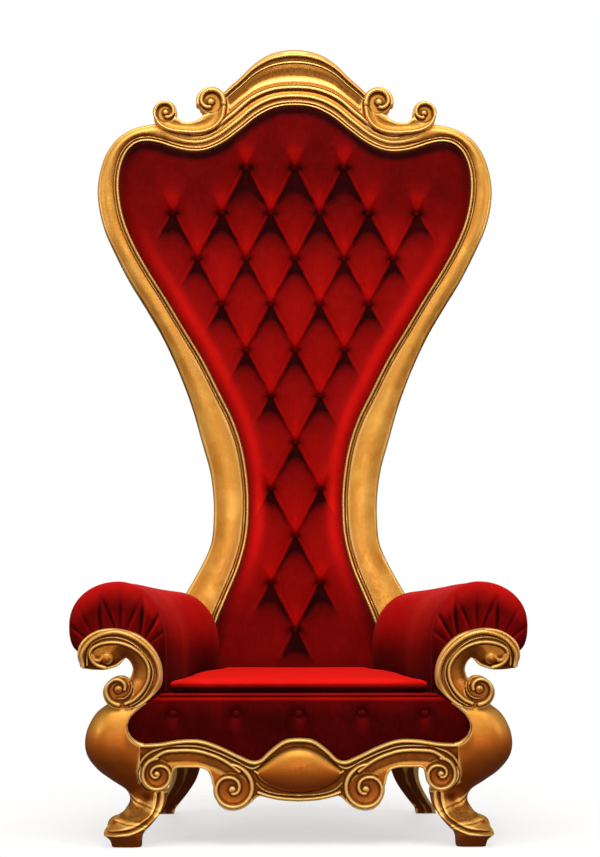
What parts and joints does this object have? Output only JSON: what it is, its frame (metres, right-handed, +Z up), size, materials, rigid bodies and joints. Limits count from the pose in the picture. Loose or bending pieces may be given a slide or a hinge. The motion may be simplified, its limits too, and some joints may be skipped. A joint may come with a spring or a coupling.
{
  "type": "throne",
  "caption": "High-backed ceremonial throne: keyhole-shaped deep-buttoned back in a gilded carved frame, rolled padded arms with C-scroll fronts, carved apron and cabriole legs.",
  "frame": {"origin": "on the floor, under the middle of the throne's box", "axes": "+Z up; the front of the throne faces -Y; +X is to the right as seen from the front"},
  "size_m": [1.28, 0.9513, 2.3379],
  "materials": {
    "gilding": "antique gold leaf on carved wood, worn to red-brown in the hollows",
    "dark_gilding": "red-brown gold toned down on the plain back legs",
    "velvet": "deep red velvet",
    "cover_cloth": "flat red velvet on the outside back"
  },
  "bodies": {
    "root": {"back_frame": "gilding", "front_apron": "gilding", "front_leg_left": "gilding", "front_leg_right": "gilding", "side_rail_left": "gilding", "side_rail_right": "gilding", "arm_scroll_left": "gilding", "arm_scroll_right": "gilding", "back_leg_left": "dark_gilding", "back_leg_right": "dark_gilding", "back_cushion": "velvet", "arm_left": "velvet", "arm_right": "velvet", "seat_base": "velvet", "seat_cushion": "velvet", "back_button_01": "velvet", "back_button_02": "velvet", "back_button_03": "velvet", "back_button_04": "velvet", "back_button_05": "velvet", "back_button_06": "velvet", "back_button_07": "velvet", "back_button_08": "velvet", "back_button_09": "velvet", "back_button_10": "velvet", "back_button_11": "velvet", "back_button_12": "velvet", "back_button_13": "velvet", "back_button_14": "velvet", "back_button_15": "velvet", "back_button_16": "velvet", "back_button_17": "velvet", "back_button_18": "velvet", "back_button_19": "velvet", "back_button_20": "velvet", "back_button_21": "velvet", "back_button_22": "velvet", "back_button_23": "velvet", "back_button_24": "velvet", "back_button_25": "velvet", "back_button_26": "velvet", "back_button_27": "velvet", "back_button_28": "velvet", "back_button_29": "velvet", "back_button_30": "velvet", "border_button_1": "velvet", "border_button_2": "velvet", "border_button_3": "velvet", "border_button_4": "velvet", "border_button_5": "velvet", "back_cover": "cover_cloth"}
  },
  "joints": []
}
